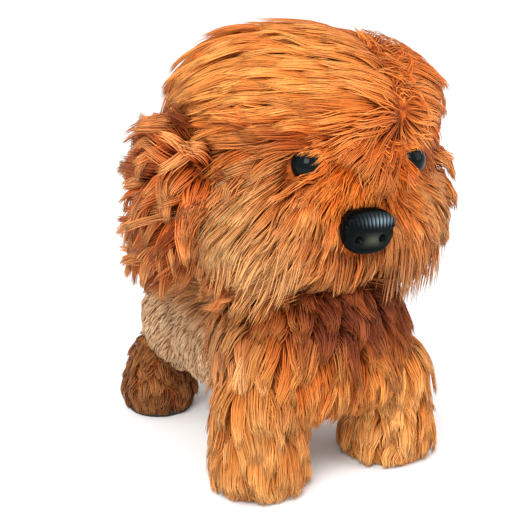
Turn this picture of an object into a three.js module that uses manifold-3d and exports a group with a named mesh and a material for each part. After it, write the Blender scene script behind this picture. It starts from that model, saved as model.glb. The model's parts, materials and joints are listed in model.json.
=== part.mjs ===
// Interactive plush dog: a battery-driven walking toy with a two-part plastic chassis,
// four swinging legs, a nodding head and a wagging tail, all under long curly plush.
// Millimetres, +Z up, the dog faces -Y, its left side is +X. The origin is on the floor, midway.
import * as THREE from "three";
import { mergeVertices } from "three/addons/utils/BufferGeometryUtils.js";
import Module from "manifold-3d";

const wasm = await Module();
wasm.setup();

// ---- driving dimensions -------------------------------------------------------------------
const GAP = 0.3; // between pieces that touch
const TRACK = 31; // centre plane to the middle of a foot
const HIP_Y = 44; // hips, ahead of and behind the origin
const HIP_Z = 48; // hip height
const WALL = 2; // moulded shells
const CHASSIS_X = 17; // half width of the chassis
const CHASSIS_FLOOR = 34;
const CHASSIS_FRONT = -55;
const CHASSIS_REAR = 53;
const SHOULDER_Z = 72; // chassis top over the gears
const RUMP_Z = 57; // chassis top over the batteries
const BODY_X = 38; // half width of the plush body
const CAVITY_X = 31.5; // half width of the room inside the plush body

const MODULE = 0.5; // gear tooth size
const WHEEL_TEETH = 32;
const PINION_TEETH = 8;
const GEAR_DROP = 4; // alternate gear axles sit this much lower
const CRANK = { y: -HIP_Y, z: 60 };
const THROW = 2.5; // crank pin offset
const SHAFT_R = 1.2;
const AXLE_R = 0.8;
const PIN_R = 1.5; // hip pins

const LEG_PLATE = [21, 23]; // inner and outer face of a leg's hip plate
const ROD_LUG = 7; // link rod pins, below the front hips and above the rear hips
const LEG_TOP = -19; // top of the lower leg, below the hip
const SOLE_T = 2.5;
const SOLE_R = 14;
const LEG_SKIN_R = 17.5;

const NECK = { y: -27, z: 74 };
const HEAD = { y: -27, z: 108 }; // the head's own frame, level with the nose
const HEAD_ROLL = 5; // degrees, its left side lower
const BALL = { y: 2, z: 23 }; // middle of the skull ball in the head's frame
const SKULL = [38, 36, 38]; // outer half axes of the skull
const HEAD_PLUSH = [52, 48, 51]; // half axes over the head's plush
const SKULL_FLOOR = -8;
const EYE = { x: 22.5, y: -35, z: 25.5, r: 6.5 };
const NOSE = { y: -43, z: 1.5, half: [12, 6, 8.6] };

const CELL_R = 5.25; // AAA cell
const CELL_L = 44.5;
const CELL_X = 6.2;
const CELL_Z = 41.4;
const CELL_Y = [-2, -2 + CELL_L];

const TAIL_PIVOT_Y = 48.5;
const TAIL_Y = 68; // middle of the tail plush

// ---- materials ----------------------------------------------------------------------------
const finish = (color, roughness, metalness = 0) =>
  new THREE.MeshStandardMaterial({ color, roughness, metalness });
const plush = (color) => finish(color, 0.95);
const shell = () => finish(0xd9d6cd, 0.5);
const steel = () => finish(0xb9bcc0, 0.3, 1);
const acetal = (color = 0xf2efe6) => finish(color, 0.4);
const gloss = () => finish(0x101316, 0.12);

// ---- solids -------------------------------------------------------------------------------
const X_AXIS = new THREE.Matrix4().makeBasis(
  new THREE.Vector3(0, 1, 0),
  new THREE.Vector3(0, 0, 1),
  new THREE.Vector3(1, 0, 0),
); // turns an outline drawn in y and z, extruded upwards, to run along X

function solid(geometry) {
  const bare = geometry.clone();
  bare.deleteAttribute("normal");
  bare.deleteAttribute("uv");
  const merged = mergeVertices(bare, 1e-4);
  return new wasm.Manifold(
    new wasm.Mesh({
      numProp: 3,
      vertProperties: merged.attributes.position.array,
      triVerts: new Uint32Array(merged.index.array),
    }),
  );
}

const SIDES = [
  ["left", 1],
  ["right", -1],
];
// A range along X on the dog's left side (1), or mirrored to its right (-1).
const onSide = (side, [low, high]) => (side > 0 ? [low, high] : [-high, -low]);
const join = (first, ...rest) => rest.reduce((sum, s) => sum.add(s), first);
const cut = (first, ...rest) => rest.reduce((sum, s) => sum.subtract(s), first);

function box(x, y, z) {
  const size = [x, y, z].map(([low, high]) => high - low);
  const middle = [x, y, z].map(([low, high]) => (low + high) / 2);
  return solid(new THREE.BoxGeometry(...size).translate(...middle));
}

// A round bar from one coordinate to another along an axis; at gives its other two coordinates.
function bar(axis, radius, [from, to], at, sides = 12) {
  const round = new THREE.CylinderGeometry(radius, radius, to - from, sides);
  const middle = (from + to) / 2;
  if (axis === "x") round.rotateZ(-Math.PI / 2).translate(middle, at[0], at[1]);
  if (axis === "y") round.translate(at[0], middle, at[1]);
  if (axis === "z") round.rotateX(Math.PI / 2).translate(at[0], at[1], middle);
  return solid(round);
}

function ellipsoid(half, middle, around = 18, down = 12) {
  const ball = new THREE.SphereGeometry(1, around, down).rotateX(Math.PI / 2);
  return solid(ball.scale(...half).translate(...middle));
}

// An outline of [y, z] points, extruded between two x values.
function slab(outline, [from, to]) {
  const shape = new THREE.Shape(outline.map(([y, z]) => new THREE.Vector2(y, z)));
  const plate = new THREE.ExtrudeGeometry(shape, { depth: to - from, bevelEnabled: false });
  return solid(plate.applyMatrix4(X_AXIS).translate(from, 0, 0));
}

// A turned piece about Z, from [radius, z] points that start and end on the axis.
function turned(profile, sides = 24) {
  const points = profile.map(([r, z]) => new THREE.Vector2(r, z));
  return solid(new THREE.LatheGeometry(points, sides).rotateX(Math.PI / 2));
}

function geometryOf(manifold) {
  const { vertProperties, triVerts } = manifold.getMesh();
  const flat = new THREE.BufferGeometry()
    .setAttribute("position", new THREE.BufferAttribute(vertProperties, 3))
    .setIndex(new THREE.BufferAttribute(triVerts, 1))
    .toNonIndexed();
  flat.computeVertexNormals();
  return flat;
}

function add(group, name, manifold, material, position = [0, 0, 0]) {
  const mesh = new THREE.Mesh(geometryOf(manifold), material);
  mesh.name = name;
  mesh.position.set(...position);
  group.add(mesh);
}

const dog = new THREE.Group();

// ---- gear train places --------------------------------------------------------------------
const CENTRES = (MODULE * (WHEEL_TEETH + PINION_TEETH)) / 2;
const GEAR_STEP = Math.sqrt(CENTRES ** 2 - GEAR_DROP ** 2);
const SECOND = { y: CRANK.y + GEAR_STEP, z: CRANK.z - GEAR_DROP };
const FIRST = { y: SECOND.y + GEAR_STEP, z: CRANK.z };
const MOTOR = { y: FIRST.y + GEAR_STEP, z: CRANK.z - GEAR_DROP };
const SCREWS = [
  [-49.5, 39.5],
  [1, 57],
  [35, 53.2],
];
const DOOR_SCREW = [8, 50];

// ---- chassis ------------------------------------------------------------------------------
function chassisOutline(inset) {
  const front = CHASSIS_FRONT + inset;
  const rear = CHASSIS_REAR - inset;
  const floor = CHASSIS_FLOOR + inset;
  return [
    [front, floor],
    [rear, floor],
    [rear, RUMP_Z - 4 - inset / 2],
    [rear - 2.5, RUMP_Z - inset],
    [10 - inset / 2, RUMP_Z - inset],
    [-12 - inset / 2, SHOULDER_Z - inset],
    [front + 6, SHOULDER_Z - inset],
    [front, SHOULDER_Z - 6],
  ];
}

function chassisHalf(side) {
  const along = (...range) => onSide(side, range);
  const wall = CHASSIS_X - WALL;
  const hips = [-HIP_Y, HIP_Y];
  let half = cut(
    slab(chassisOutline(0), along(GAP / 2, CHASSIS_X)),
    slab(chassisOutline(WALL), along(-1, wall)),
  );
  // hip bosses, screw posts, neck lug and the shelf under the tail pin
  half = join(
    half,
    ...hips.map((y) => bar("x", 4, along(wall + 1, 20.4), [y, HIP_Z])),
    ...SCREWS.map((at) => bar("x", 2.2, along(GAP / 2, wall + 1), at)),
    box(along(5.2, 8), [NECK.y - 5, NECK.y + 5], [SHOULDER_Z - 5, NECK.z + 4.5]),
    box(along(GAP / 2, wall + 1), [45, CHASSIS_REAR - 1], [47, 48.5]),
  );
  if (side > 0) half = half.add(bar("z", 2.4, [CHASSIS_FLOOR + 1, 42], DOOR_SCREW));
  const through = along(-1, 22);
  return cut(
    half,
    ...hips.map((y) => bar("x", PIN_R + 0.05, through, [y, HIP_Z])),
    ...SCREWS.map((at) => bar("x", 1.25, along(-1, side > 0 ? 22 : 13), at)),
    bar("x", SHAFT_R + 0.1, through, [CRANK.y, CRANK.z]),
    bar("x", AXLE_R + 0.05, through, [SECOND.y, SECOND.z]),
    bar("x", AXLE_R + 0.05, through, [FIRST.y, FIRST.z]),
    bar("x", 1.35, through, [NECK.y, NECK.z]),
    bar("z", 1.25, [30, 41], DOOR_SCREW),
    bar("z", 1.05, [40, 60], [0, TAIL_PIVOT_Y]),
    box(along(-1, 5.2), [-50, NECK.y + 6], [SHOULDER_Z - 3, SHOULDER_Z + 8]), // neck slot
    box(along(-1, 13), [-3.5, 46], [CHASSIS_FLOOR - 1, CHASSIS_FLOOR + 3]), // battery bay
    box(along(-1, 2.3), [-13.6, -5.4], [CHASSIS_FLOOR - 1, CHASSIS_FLOOR + 3]), // switch slot
    box(along(-1, 4.5), [CHASSIS_REAR - 4, CHASSIS_REAR + 2], [48.6, 54.2]), // tail slot
  );
}

add(dog, "chassis_left", chassisHalf(1), shell());
add(dog, "chassis_right", chassisHalf(-1), shell());

SCREWS.forEach(([y, z], i) => {
  const screw = join(
    bar("x", 2.4, [CHASSIS_X + GAP, CHASSIS_X + 1.6], [0, 0]),
    bar("x", 1.1, [-12.5, CHASSIS_X + 1], [0, 0], 12),
  );
  add(dog, `chassis_screw_${i + 1}`, screw, steel(), [0, y, z]);
});

// ---- plush body: a rounded slab with room for the mechanism, open at the neck and legs -----
function bodyOutline() {
  const outline = new THREE.Shape();
  outline.moveTo(-44, 24);
  outline.bezierCurveTo(-58, 26, -62, 44, -62, 54);
  outline.bezierCurveTo(-62, 70, -54, 82, -38, 82);
  outline.bezierCurveTo(-6, 82, 0, 67, 22, 65);
  outline.bezierCurveTo(48, 65, 58.5, 63, 58.5, 46);
  outline.bezierCurveTo(58.5, 30, 52, 22, 38, 22);
  outline.closePath();
  return outline;
}

// A rectangle with round corners, from low to high both ways.
function roundedOutline([x0, y0], [x1, y1], r) {
  const outline = new THREE.Shape();
  outline.absarc(x1 - r, y1 - r, r, 0, Math.PI / 2);
  outline.absarc(x0 + r, y1 - r, r, Math.PI / 2, Math.PI);
  outline.absarc(x0 + r, y0 + r, r, Math.PI, 1.5 * Math.PI);
  outline.absarc(x1 - r, y0 + r, r, 1.5 * Math.PI, 2 * Math.PI);
  return outline;
}

// The outer form is what three outlines share: from the side, from the front and from above.
function bodyForm() {
  const long = (outline, depth, curveSegments) =>
    new THREE.ExtrudeGeometry(outline, { depth, bevelEnabled: false, curveSegments });
  const side = long(bodyOutline(), 2 * BODY_X, 7).applyMatrix4(X_AXIS).translate(-BODY_X, 0, 0);
  const front = long(roundedOutline([-BODY_X, 20], [BODY_X, 84], 20), 140, 6);
  const above = long(roundedOutline([-BODY_X, -63], [BODY_X, 60], 20), 100, 6);
  return solid(side)
    .intersect(solid(front.rotateX(Math.PI / 2).translate(0, 70, 0)))
    .intersect(solid(above));
}

function bodySkin() {
  const room = [
    [CHASSIS_FRONT - 1, CHASSIS_FLOOR - 1],
    [CHASSIS_REAR + 1, CHASSIS_FLOOR - 1],
    [CHASSIS_REAR + 1, RUMP_Z - 2.5],
    [CHASSIS_REAR - 2, RUMP_Z + 2.5],
    [11.5, RUMP_Z + 2.5],
    [-11, SHOULDER_Z + 2],
    [-48, SHOULDER_Z + 2],
    [CHASSIS_FRONT - 1, SHOULDER_Z - 5],
  ];
  let skin = cut(
    bodyForm(),
    slab(room, [-CAVITY_X, CAVITY_X]),
    box([-15, 15], [-16, CHASSIS_REAR + 1], [10, CHASSIS_FLOOR]), // belly flap
    bar("z", 16.5, [SHOULDER_Z, 100], [0, NECK.y - 1], 24), // neck
    box([-6, 6], [CHASSIS_REAR, 70], [47, 56]), // tail
  );
  for (const x of [TRACK, -TRACK])
    for (const y of [HIP_Y, -HIP_Y])
      skin = skin.subtract(box([x - 21, x + 21], [y - 25, y + 25], [10, CHASSIS_FLOOR - 0.5]));
  return skin;
}

add(dog, "body_plush", bodySkin(), plush(0xb4672c));

// ---- drive: motor, compound gears, crankshaft ---------------------------------------------
// A toothed wheel between two x values, with a tooth (or a gap) facing the given direction.
function gear(teeth, [from, to], direction, facing) {
  const pitch = (MODULE * teeth) / 2;
  const tip = pitch + 0.85 * MODULE;
  const root = pitch - 1.2 * MODULE;
  const step = (2 * Math.PI) / teeth;
  const start = direction + (facing === "gap" ? step / 2 : 0);
  const outline = [];
  for (let i = 0; i < teeth; i++) {
    const flank = [
      [root, -0.25],
      [tip, -0.1],
      [tip, 0.1],
      [root, 0.25],
    ];
    for (const [r, share] of flank) {
      const angle = start + (i + share) * step;
      outline.push([r * Math.cos(angle), r * Math.sin(angle)]);
    }
  }
  return slab(outline, [from, to]);
}

const towards = (from, to) => Math.atan2(to.z - from.z, to.y - from.y);
const axleBore = () => bar("x", AXLE_R + 0.08, [-20, 20], [0, 0]);

const sameLine = ({ y, z }) => [0, y, z]; // a group's place on the middle plane

// A wheel and a pinion in one piece, on an axle.
function compoundGear(here, driver, driven, x) {
  const ends = [...x.wheel, ...x.pinion];
  return cut(
    join(
      gear(WHEEL_TEETH, x.wheel, towards(here, driver), "tooth"),
      gear(PINION_TEETH, x.pinion, towards(here, driven), "gap"),
      bar("x", 1.35, [Math.min(...ends), Math.max(...ends)], [0, 0]),
    ),
    axleBore(),
  );
}

const OUTPUT_X = [5, 7];
const SECOND_X = { wheel: [8.3, 10.1], pinion: [4.9, 8.4] };
const FIRST_X = { wheel: [11.3, 13], pinion: [8.1, 11.4] };

const outputGear = cut(
  join(
    gear(WHEEL_TEETH, OUTPUT_X, towards(CRANK, SECOND), "tooth"),
    bar("x", 3, [OUTPUT_X[0] - 0.6, OUTPUT_X[1] + 0.6], [0, 0]),
  ),
  bar("x", SHAFT_R + 0.05, [0, 20], [0, 0]),
);
const secondGear = compoundGear(SECOND, FIRST, CRANK, SECOND_X);
const firstGear = compoundGear(FIRST, MOTOR, SECOND, FIRST_X);
add(dog, "output_gear", outputGear, acetal(), sameLine(CRANK));
add(dog, "second_gear", secondGear, acetal(), sameLine(SECOND));
add(dog, "first_gear", firstGear, acetal(), sameLine(FIRST));

const MOTOR_X = [-14.4, 7.3];
const motorPinion = join(
  gear(PINION_TEETH, [10.8, 13.6], towards(MOTOR, FIRST), "gap"),
  bar("x", AXLE_R, [1, 14], [0, 0]),
);
add(dog, "motor_pinion", motorPinion, finish(0xc9a24c, 0.35, 1), sameLine(MOTOR));

const can = join(
  bar("x", 10, MOTOR_X, [0, 0], 24).intersect(box([-15, 8], [-7.5, 7.5], [-11, 11])),
  bar("x", 3, [7, 8.2], [0, 0]),
);
const motorBody = can.subtract(bar("x", 1.1, [0, 9], [0, 0]));
add(dog, "motor", motorBody, finish(0xa7abb0, 0.35, 0.9), sameLine(MOTOR));

const axle = () => bar("x", AXLE_R, [2, CHASSIS_X], [0, 0]);
add(dog, "second_axle", axle(), steel(), sameLine(SECOND));
add(dog, "first_axle", axle(), steel(), sameLine(FIRST));

const CRANK_DISC = [18, 19.6];
const crankShaft = bar("x", SHAFT_R, [-CRANK_DISC[1], CRANK_DISC[1]], [0, 0]);
add(dog, "crank_shaft", crankShaft, steel(), sameLine(CRANK));
const shaftBore = () => bar("x", SHAFT_R + 0.05, [-20, 20], [0, 0]);
for (const [name, side] of SIDES) {
  const disc = bar("x", 5, onSide(side, CRANK_DISC), [0, 0], 28);
  const crankPin = bar("x", 1.2, onSide(side, [19, 24]), [side * THROW, 0]);
  add(dog, `crank_${name}`, cut(join(disc, crankPin), shaftBore()), acetal(0xe9e4d2), sameLine(CRANK));
}
const cam = cut(bar("x", 4.6, [-3, 3], [1.4, 0], 24), shaftBore());
add(dog, "nod_cam", cam, acetal(0xe9e4d2), sameLine(CRANK));

// ---- electrics ----------------------------------------------------------------------------
for (const [i, x] of [CELL_X, -CELL_X].entries()) {
  const nub = i === 0 ? [CELL_Y[0] - 0.9, CELL_Y[0] + 1] : [CELL_Y[1] - 1, CELL_Y[1] + 0.9];
  const cell = join(bar("y", CELL_R, CELL_Y, [0, 0], 24), bar("y", 1.9, nub, [0, 0], 16));
  add(dog, `battery_${i + 1}`, cell, finish(0x2f6a4b, 0.35), [x, 0, CELL_Z]);
}

// A contact spring: a helix of wire, narrower towards the cell.
function contactSpring() {
  const turns = 3;
  const steps = 27;
  const points = [];
  for (let i = 0; i <= steps; i++) {
    const angle = (2 * Math.PI * turns * i) / steps;
    const radius = 3.4 - (1.4 * i) / steps;
    const across = radius * Math.cos(angle);
    const upward = radius * Math.sin(angle);
    points.push(new THREE.Vector3(across, -(2.2 * i) / steps, upward));
  }
  const wire = new THREE.Shape().absarc(0, 0, 0.28, 0, 2 * Math.PI);
  const path = new THREE.CatmullRomCurve3(points);
  return solid(new THREE.ExtrudeGeometry(wire, { steps, curveSegments: 3, extrudePath: path }));
}
const springY = CELL_Y[1] + 3.7;
[CELL_X, -CELL_X].forEach((x, i) => {
  add(dog, `contact_spring_${i + 1}`, contactSpring(), steel(), [x, springY, CELL_Z]);
});
const plate = (y) => box([-11.5, 11.5], [y, y + 0.5], [37.4, 46.2]);
add(dog, "front_contact", plate(CELL_Y[0] - 1.8), steel());
add(dog, "rear_contact", plate(springY + 0.6), steel());

const board = join(
  box([-13, 13], [5, 36], [49.4, 50.6]),
  box([-9, -2], [10, 18], [50.5, 52]),
  bar("z", 2.5, [50.5, 54], [6, 14], 16),
  box([3, 9], [24, 30], [50.5, 51.8]),
);
add(dog, "circuit_board", board, finish(0x2c6b3a, 0.5));

const speaker = turned(
  [
    [0, 0.6],
    [6.5, 0.6],
    [8.6, 0],
    [10, 0],
    [10, 1.6],
    [6, 4.2],
    [0, 4.2],
  ],
  32,
);
add(dog, "speaker", speaker, finish(0x3a3b3d, 0.5, 0.4), [0, -28, CHASSIS_FLOOR + WALL + GAP]);

const SWITCH_Y = [-13, -10];
const housing = box([-5, 5], [-15, -4.2], [38.6, 41.5]);
add(dog, "switch_housing", housing, finish(0x23252a, 0.5));
const knob = box([-1.9, 1.9], SWITCH_Y, [31.5, 38.3]);
add(dog, "switch_knob", knob, finish(0x1a1b1e, 0.4));

const door = cut(
  join(
    box([-12.7, 12.7], [-3.2, 45.7], [CHASSIS_FLOOR, CHASSIS_FLOOR + 1.7]),
    box([4, 12], [40, 53], [CHASSIS_FLOOR - 1.8, CHASSIS_FLOOR - GAP]),
    box([4, 12], [40, 45.5], [CHASSIS_FLOOR - 1, CHASSIS_FLOOR + 1]),
  ),
  bar("z", 1.25, [20, 40], DOOR_SCREW),
);
add(dog, "battery_door", door, shell());
const doorScrew = join(bar("z", 2.2, [30.7, 31.9], [0, 0]), bar("z", 1.1, [31, 40.5], [0, 0], 12));
add(dog, "door_screw", doorScrew, steel(), [...DOOR_SCREW, 0]);

// ---- legs: each group's origin is its hip -------------------------------------------------
function legFrame(side, front) {
  const along = (range) => onSide(side, range);
  const lug = front ? -ROD_LUG : ROD_LUG;
  const windowZ = CRANK.z - HIP_Z;
  // half widths of the hip plate, from the lower leg up to the window or lug
  const plate = front
    ? [
        [7, LEG_TOP - 2],
        [9.2, 4],
        [9.2, windowZ + 2],
        [7.2, windowZ + 8],
      ]
    : [
        [7, LEG_TOP - 2],
        [5, 2],
        [5, ROD_LUG + 3],
      ];
  const outline = [...plate, ...plate.map(([y, z]) => [-y, z]).reverse()];
  const frame = join(
    slab(outline, along(LEG_PLATE)),
    bar("x", 4.5, along([LEG_PLATE[0] - GAP, 23.5]), [0, 0]),
    bar("x", SHAFT_R, along([22, 27]), [0, lug], 16),
    box(along([LEG_PLATE[0], 38]), [-8, 8], [SOLE_T + GAP - HIP_Z, LEG_TOP]),
  );
  const hollow = box(along([23, 36]), [-6, 6], [-HIP_Z, LEG_TOP - 2]);
  const pinHole = bar("x", PIN_R + 0.08, along([19, 26]), [0, 0]);
  const open = [hollow, pinHole];
  if (front) open.push(box(along([20, 24]), [-6.7, 6.7], [windowZ - 4.4, windowZ + 4.4]));
  return cut(frame, ...open);
}

function legSkin(side) {
  const floor = SOLE_T + 0.8 - HIP_Z;
  const outer = turned([
    [0, floor],
    [LEG_SKIN_R - 2, floor],
    [LEG_SKIN_R, floor + 5],
    [LEG_SKIN_R - 1, LEG_TOP - 5],
    [LEG_SKIN_R - 4, LEG_TOP],
    [0, LEG_TOP],
  ]).translate(side * TRACK, 0, 0);
  const room = side > 0 ? [LEG_PLATE[0] - GAP, 38.4] : [-38.4, GAP - LEG_PLATE[0]];
  return outer.subtract(box(room, [-8.4, 8.4], [-60, 0]));
}

const hipPin = (side) =>
  join(
    bar("x", PIN_R, onSide(side, [14, 25.8]), [0, 0]),
    bar("x", 2.6, onSide(side, [24.5, 25.8]), [0, 0]),
  );

for (const [end, y] of [
  ["front", -HIP_Y],
  ["rear", HIP_Y],
])
  for (const [name, side] of SIDES) {
    const leg = new THREE.Group();
    leg.position.set(0, y, HIP_Z);
    dog.add(leg);
    const sole = bar("z", SOLE_R, [-HIP_Z, SOLE_T - HIP_Z], [side * TRACK, 0], 24);
    add(leg, `${end}_${name}_leg_frame`, legFrame(side, end === "front"), shell());
    add(leg, `${end}_${name}_leg_plush`, legSkin(side), plush(0xa85e28));
    add(leg, `${end}_${name}_sole`, sole, finish(0x2a2623, 0.9));
    add(leg, `${end}_${name}_hip_pin`, hipPin(side), steel());
  }

// ---- link rods: from the lug under a front hip to the lug over the rear hip of that side ----
const ROD_X = [23.9, 25.9];
const rodRun = 2 * HIP_Y;
const rodRise = 2 * ROD_LUG;
function linkRod(side) {
  const along = onSide(side, ROD_X);
  const lean = Math.atan2(rodRise, rodRun);
  const length = Math.hypot(rodRun, rodRise);
  const strip = new THREE.BoxGeometry(ROD_X[1] - ROD_X[0], length, 3);
  strip.rotateX(lean).translate(side * ((ROD_X[0] + ROD_X[1]) / 2), rodRun / 2, rodRise / 2);
  return cut(
    join(solid(strip), bar("x", 3, along, [0, 0]), bar("x", 3.4, along, [rodRun, rodRise])),
    bar("x", SHAFT_R + 0.08, [-30, 30], [0, 0], 16),
    bar("x", SHAFT_R + 0.7, [-30, 30], [rodRun, rodRise], 16),
  );
}
add(dog, "left_link_rod", linkRod(1), steel(), [0, -HIP_Y, HIP_Z - ROD_LUG]);
add(dog, "right_link_rod", linkRod(-1), steel(), [0, -HIP_Y, HIP_Z - ROD_LUG]);

// ---- neck ---------------------------------------------------------------------------------
const neck = new THREE.Group();
neck.position.set(0, NECK.y, NECK.z);
dog.add(neck);
const CLAMP = HEAD.z + SKULL_FLOOR + WALL / 2 - NECK.z; // middle of the skull floor
const arm = cut(
  join(
    bar("x", 4, [-4.6, 4.6], [0, 0]),
    box([-4, 4], [-4, 4], [0, 16]),
    bar("z", 5.2, [14, CLAMP + 5], [0, 0]),
    bar("z", 9, [CLAMP - 4, CLAMP - 2.2], [0, 0]),
    bar("z", 9, [CLAMP + 2.2, CLAMP + 4], [0, 0]),
    box([-2, 2], [-16, 0], [-4.6, -1.6]), // finger over the nod cam
  ),
  bar("x", 1.3, [-6, 6], [0, 0]),
);
add(neck, "neck_arm", arm, acetal(0xe9e4d2));
add(neck, "neck_pin", bar("x", 1.2, [-8, 8], [0, 0]), steel());

// ---- head: rolled a little to its left ----------------------------------------------------
const head = new THREE.Group();
head.position.set(0, HEAD.y, HEAD.z);
head.rotation.y = THREE.MathUtils.degToRad(HEAD_ROLL);
dog.add(head);
const ballAt = [0, BALL.y, BALL.z];
const grown = (half, by) => half.map((h) => h + by);
const EYES = [
  ["left", EYE.x],
  ["right", -EYE.x],
];

function skull(front) {
  const half = front ? [-60, BALL.y - GAP / 2] : [BALL.y + GAP / 2, 60];
  const room = ellipsoid(grown(SKULL, -WALL), ballAt).intersect(
    box([-60, 60], [-60, 60], [SKULL_FLOOR + WALL, 80]),
  );
  let part = cut(
    ellipsoid(SKULL, ballAt).intersect(box([-60, 60], half, [SKULL_FLOOR, 80])),
    room,
    bar("z", 6.6, [SKULL_FLOOR - 1, SKULL_FLOOR + 4], [0, 0], 16),
  );
  if (front)
    part = cut(
      part,
      ...EYES.map(([, x]) => bar("y", 2.2, [-50, 0], [x, EYE.z])),
      bar("y", 3.2, [-50, -10], [0, NOSE.z], 16),
    );
  return part;
}
add(head, "skull_front", skull(true), shell());
add(head, "skull_back", skull(false), shell());

const noseBall = (by) => ellipsoid(grown(NOSE.half, by), [0, NOSE.y, NOSE.z], 16, 10);
const eyeBall = (by) => ellipsoid(grown([EYE.r, EYE.r, EYE.r], by), [0, 0, 0], 12, 8);

function headSkin() {
  return cut(
    join(ellipsoid(HEAD_PLUSH, ballAt, 20, 14), ellipsoid([27, 18, 20], [0, -25, -1])),
    ellipsoid(grown(SKULL, 0.6), ballAt),
    box([-80, 80], [-80, 80], [-60, -20]), // open, flat underside
    bar("z", 16, [-40, 0], [0, 0], 24),
    ...EYES.map(([, x]) => eyeBall(0.4).translate(x, EYE.y, EYE.z)),
    ...EYES.map(([, x]) => bar("y", EYE.r - 0.5, [-70, EYE.y], [x, EYE.z])),
    ...EYES.map(([, x]) => bar("y", 2.6, [EYE.y, -10], [x, EYE.z])),
    noseBall(0.4),
    bar("y", 3.6, [NOSE.y, -10], [0, NOSE.z], 16),
  );
}
add(head, "head_plush", headSkin(), plush(0xc8742f));

for (const [name, x] of EYES) {
  const eye = eyeBall(0).add(bar("y", 1.9, [0, 14], [0, 0]));
  add(head, `${name}_eye`, eye, gloss(), [x, EYE.y, EYE.z]);
}
const nose = noseBall(0).add(bar("y", 3, [NOSE.y, -24], [0, NOSE.z], 16));
add(head, "nose", nose, gloss());

const EAR = { x: 56, y: 13, z: 0, half: [8, 19, 32] };
for (const [name, side] of SIDES) {
  const flap = ellipsoid(EAR.half, [side * EAR.x, EAR.y, EAR.z], 16, 12);
  const clear = ellipsoid(grown(HEAD_PLUSH, 0.7), ballAt, 20, 14);
  add(head, `${name}_ear`, flap.subtract(clear), plush(0xb8652a));
}

// ---- tail ---------------------------------------------------------------------------------
const tail = new THREE.Group();
tail.position.set(0, TAIL_PIVOT_Y, 51.5);
dog.add(tail);
const reach = TAIL_Y - TAIL_PIVOT_Y;
const tailCore = cut(
  join(bar("z", 2.8, [-2.4, 2.4], [0, 0]), bar("y", 1.5, [1, reach], [0, 0])),
  bar("z", 1.1, [-5, 5], [0, 0]),
);
add(tail, "tail_core", tailCore, shell());
add(tail, "tail_pin", bar("z", 0.98, [-4.2, 5.2], [0, 0]), steel());
const pom = ellipsoid([8, 8, 13], [0, reach, 6], 16, 10);
const socket = bar("y", 1.8, [0, reach + 0.4], [0, 0]);
add(tail, "tail_plush", pom.subtract(socket), plush(0xa85e28));

export default dog;
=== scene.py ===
"""A walking toy puppy in long apricot plush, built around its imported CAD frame.

Lengths are in millimetres in the frame's axes, and become metres where a mesh is made.
The dog faces -Y, its left side is +X. The fur is real geometry: every hair is a closed
tapered tube, grown from a pelt, combed along it and gathered into pointed locks.
"""

import json
import math

import bpy
import numpy as np
from mathutils import Matrix, Vector, kdtree


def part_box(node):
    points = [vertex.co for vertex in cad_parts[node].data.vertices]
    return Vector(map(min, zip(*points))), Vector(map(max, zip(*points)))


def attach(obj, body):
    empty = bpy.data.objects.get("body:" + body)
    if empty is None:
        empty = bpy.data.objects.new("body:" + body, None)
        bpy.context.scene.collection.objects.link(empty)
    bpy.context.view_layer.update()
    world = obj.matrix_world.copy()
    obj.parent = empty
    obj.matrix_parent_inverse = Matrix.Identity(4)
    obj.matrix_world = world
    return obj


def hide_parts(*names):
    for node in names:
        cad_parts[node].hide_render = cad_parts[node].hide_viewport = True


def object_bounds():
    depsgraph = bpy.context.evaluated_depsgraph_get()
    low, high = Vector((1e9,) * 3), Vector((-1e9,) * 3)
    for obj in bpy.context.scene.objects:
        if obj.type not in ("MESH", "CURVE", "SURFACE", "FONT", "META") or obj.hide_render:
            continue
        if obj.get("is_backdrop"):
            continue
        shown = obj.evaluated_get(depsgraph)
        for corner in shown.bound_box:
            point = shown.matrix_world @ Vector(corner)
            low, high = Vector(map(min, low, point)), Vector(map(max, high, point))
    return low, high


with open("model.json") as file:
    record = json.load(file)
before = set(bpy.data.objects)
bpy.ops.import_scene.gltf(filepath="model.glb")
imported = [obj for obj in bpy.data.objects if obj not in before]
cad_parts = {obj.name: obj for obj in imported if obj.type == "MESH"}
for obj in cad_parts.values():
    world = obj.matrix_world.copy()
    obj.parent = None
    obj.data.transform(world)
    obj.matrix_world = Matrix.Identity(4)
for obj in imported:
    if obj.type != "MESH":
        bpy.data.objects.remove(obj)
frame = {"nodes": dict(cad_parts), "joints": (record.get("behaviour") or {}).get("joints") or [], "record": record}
cad_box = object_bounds()

MM = 0.001
RNG = np.random.default_rng(20)
MOST_FACES = 190_000  # triangles in one piece of fur; the export thins a piece of more than 200,000


# ---- places taken from the frame -----------------------------------------------------------
def box_mm(node):
    low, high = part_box(node)
    return np.array(low) / MM, np.array(high) / MM


def middle(node):
    low, high = box_mm(node)
    return (low + high) / 2


def joint_mm(name):
    joint = next(j for j in frame["joints"] if j["name"] == name)
    return np.array(joint["pos_m"]) / MM


NOSE_LOW, NOSE_HIGH = box_mm("nose")
LEFT_EYE, RIGHT_EYE = middle("left_eye"), middle("right_eye")
LEAN = math.atan2(RIGHT_EYE[2] - LEFT_EYE[2], LEFT_EYE[0] - RIGHT_EYE[0])  # the head's lean to its left
NOSE_UP = 1.5  # height of the nose over the head's origin
HEAD_AT = Vector((0, joint_mm("head_nod")[1], middle("nose")[2] - NOSE_UP))
HEAD = Matrix.Translation(HEAD_AT) @ Matrix.Rotation(LEAN, 4, "Y")
HEAD_ROT = np.array(HEAD.to_3x3())
HEAD_OFF = np.array(HEAD_AT)


def from_head(points):
    return points @ HEAD_ROT.T + HEAD_OFF


def to_head(points):
    return (points - HEAD_OFF) @ HEAD_ROT


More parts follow.
